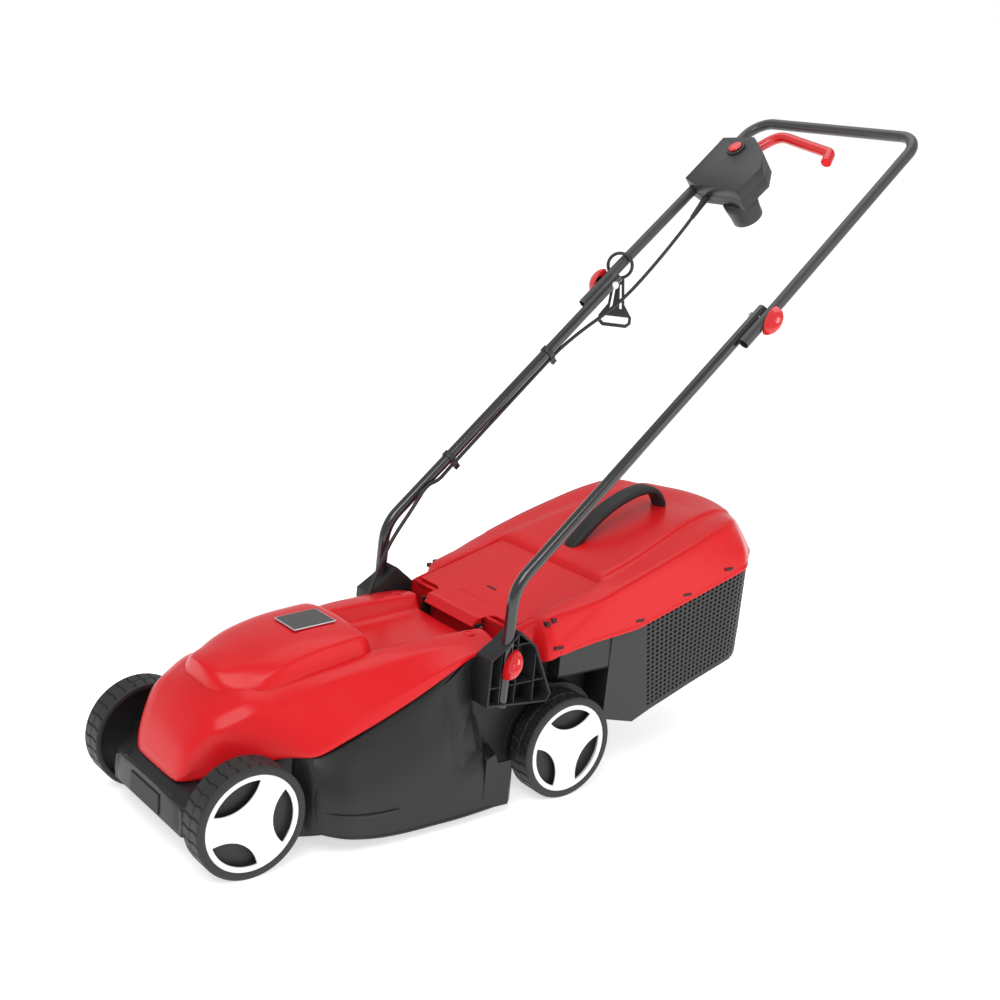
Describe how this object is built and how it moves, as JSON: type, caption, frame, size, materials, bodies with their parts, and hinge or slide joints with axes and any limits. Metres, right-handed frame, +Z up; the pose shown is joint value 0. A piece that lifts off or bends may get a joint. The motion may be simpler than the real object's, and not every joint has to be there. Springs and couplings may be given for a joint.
{
  "type": "corded electric rotary lawn mower",
  "caption": "Corded electric rotary mower with a red motor cover, folding tube handle, switch box and lever, rear flap and a lift-off grass box.",
  "frame": {"origin": "on the ground, under the middle of the whole machine's bounding box", "axes": "+Y back towards the operator, +X to the machine's left, +Z up; the front is towards -Y"},
  "size_m": [0.4606, 1.3213, 1.0673],
  "materials": {
    "wheel_black": "satin moulded",
    "white_plastic": "satin moulded",
    "steel": "drawn",
    "deck_black": "satin moulded",
    "bracket_grey": "matt moulded",
    "zinc": "zinc plated",
    "cover_red": "glossy moulded",
    "plate_black": "glossy with a bright rim",
    "motor_steel": "pressed",
    "carbon": "pressed carbon",
    "carrier_alloy": "cast",
    "blade_steel": "painted, ground edges",
    "tube_black": "glossy powder coat",
    "tube_grey": "satin powder coat",
    "knob_red": "glossy moulded",
    "switch_black": "satin moulded",
    "brass": "turned",
    "cable_black": "soft",
    "flap_red": "glossy moulded",
    "tub_black": "satin moulded",
    "lid_red": "glossy moulded"
  },
  "bodies": {
    "chassis": {"deck": "deck_black", "motor_cover": "cover_red", "cover_screws": "zinc", "cover_plate": "plate_black", "motor_can": "motor_steel", "motor_stator": "motor_steel", "motor_bearings": "motor_steel", "motor_brushes": "carbon", "motor_screws": "zinc", "front_axle": "steel", "rear_axle": "steel", "axle_push_nuts": "steel", "handle_bracket_left": "bracket_grey", "handle_bracket_right": "bracket_grey", "bracket_screws": "zinc", "lower_tube_left": "tube_black", "lower_tube_right": "tube_black", "upper_bolts": "zinc", "lower_bolts": "zinc", "cable_lower": "cable_black", "cable_fold": "cable_black", "cable_clips": "cable_black", "flap_hinge_rod": "steel", "flap_springs": "steel"},
    "blade_group": {"motor_shaft": "steel", "blade_carrier": "carrier_alloy", "blade": "blade_steel", "blade_washer": "steel", "blade_bolt": "zinc"},
    "upper_handle": {"upper_tube": "tube_grey", "switch_box_top": "switch_black", "switch_box_bottom": "switch_black", "lever_pivot_pin": "steel", "button_spring": "steel", "switch_module": "switch_black", "lever_spring": "steel", "inlet_shroud": "switch_black", "inlet_pins": "brass", "cable_relief": "cable_black", "cable_upper": "cable_black"},
    "lever": {"switch_lever": "knob_red"},
    "button": {"safety_button": "knob_red"},
    "hook": {"cord_hook": "cable_black"},
    "flap": {"rear_flap": "flap_red"},
    "grass_box": {"grass_box_tub": "tub_black", "grass_box_lid": "lid_red", "grass_box_grip": "bracket_grey"},
    "wheel_front_left_body": {"wheel_front_left": "wheel_black", "wheel_cover_front_left": "white_plastic"},
    "wheel_front_right_body": {"wheel_front_right": "wheel_black", "wheel_cover_front_right": "white_plastic"},
    "wheel_rear_left_body": {"wheel_rear_left": "wheel_black", "wheel_cover_rear_left": "white_plastic"},
    "wheel_rear_right_body": {"wheel_rear_right": "wheel_black", "wheel_cover_rear_right": "white_plastic"},
    "upper_wing_knob_left_body": {"upper_wing_knob_left": "knob_red"},
    "upper_wing_knob_right_body": {"upper_wing_knob_right": "knob_red"},
    "lower_wing_knob_left_body": {"lower_wing_knob_left": "knob_red"},
    "lower_wing_knob_right_body": {"lower_wing_knob_right": "knob_red"}
  },
  "joints": [
    {"name": "wheel_front_left_spin", "type": "hinge", "parent": "chassis", "child": "wheel_front_left_body", "pos_m": [0.164, -0.5755, 0.085], "axis": [1, 0, 0], "continuous": true},
    {"name": "wheel_front_right_spin", "type": "hinge", "parent": "chassis", "child": "wheel_front_right_body", "pos_m": [-0.164, -0.5755, 0.085], "axis": [1, 0, 0], "continuous": true},
    {"name": "wheel_rear_left_spin", "type": "hinge", "parent": "chassis", "child": "wheel_rear_left_body", "pos_m": [0.175, -0.0165, 0.085], "axis": [1, 0, 0], "continuous": true},
    {"name": "wheel_rear_right_spin", "type": "hinge", "parent": "chassis", "child": "wheel_rear_right_body", "pos_m": [-0.175, -0.0165, 0.085], "axis": [1, 0, 0], "continuous": true},
    {"name": "blade_spin", "type": "hinge", "parent": "chassis", "child": "blade_group", "pos_m": [0, -0.4035, 0.05], "axis": [0, 0, 1], "continuous": true},
    {"name": "handle_fold", "type": "hinge", "parent": "chassis", "child": "upper_handle", "pos_m": [0, 0.3135, 0.7613], "axis": [1, 0, 0], "range_deg": [0, 160], "deforming": ["cable_fold"]},
    {"name": "lever_squeeze", "type": "hinge", "parent": "upper_handle", "child": "lever", "pos_m": [-0.146, 0.58404, 0.99881], "axis": [0, -0.6597, 0.7515], "range_deg": [0, 12], "stiffness_Nm_per_rad": 0.6, "springref_deg": -28.65, "deforming": ["lever_spring"]},
    {"name": "button_press", "type": "slide", "parent": "upper_handle", "child": "button", "axis": [0, 0.6597, -0.7515], "range_m": [0, 0.004], "stiffness_N_per_m": 300, "springref_m": -0.004, "deforming": ["button_spring"]},
    {"name": "hook_swing", "type": "hinge", "parent": "upper_handle", "child": "hook", "pos_m": [-0.1948, 0.34844, 0.79198], "axis": [0, 0.7515, 0.6597], "range_deg": [-15, 15]},
    {"name": "flap_lift", "type": "hinge", "parent": "chassis", "child": "flap", "pos_m": [0, -0.116, 0.262], "axis": [1, 0, 0], "range_deg": [0, 70], "stiffness_Nm_per_rad": 0.15, "springref_deg": -34.38, "deforming": ["flap_springs"]},
    {"name": "grass_box_removal", "type": "slide", "parent": "chassis", "child": "grass_box", "axis": [0, 0.9781, 0.2079], "range_m": [0, 0.62]},
    {"name": "upper_wing_knob_left_turn", "type": "hinge", "parent": "chassis", "child": "upper_wing_knob_left_body", "pos_m": [0.215, 0.3135, 0.7613], "axis": [1, 0, 0], "continuous": true},
    {"name": "lower_wing_knob_left_turn", "type": "hinge", "parent": "chassis", "child": "lower_wing_knob_left_body", "pos_m": [0.198, -0.144, 0.246], "axis": [1, 0, 0], "continuous": true},
    {"name": "upper_wing_knob_right_turn", "type": "hinge", "parent": "chassis", "child": "upper_wing_knob_right_body", "pos_m": [-0.215, 0.3135, 0.7613], "axis": [1, 0, 0], "continuous": true},
    {"name": "lower_wing_knob_right_turn", "type": "hinge", "parent": "chassis", "child": "lower_wing_knob_right_body", "pos_m": [-0.198, -0.144, 0.246], "axis": [1, 0, 0], "continuous": true}
  ]
}
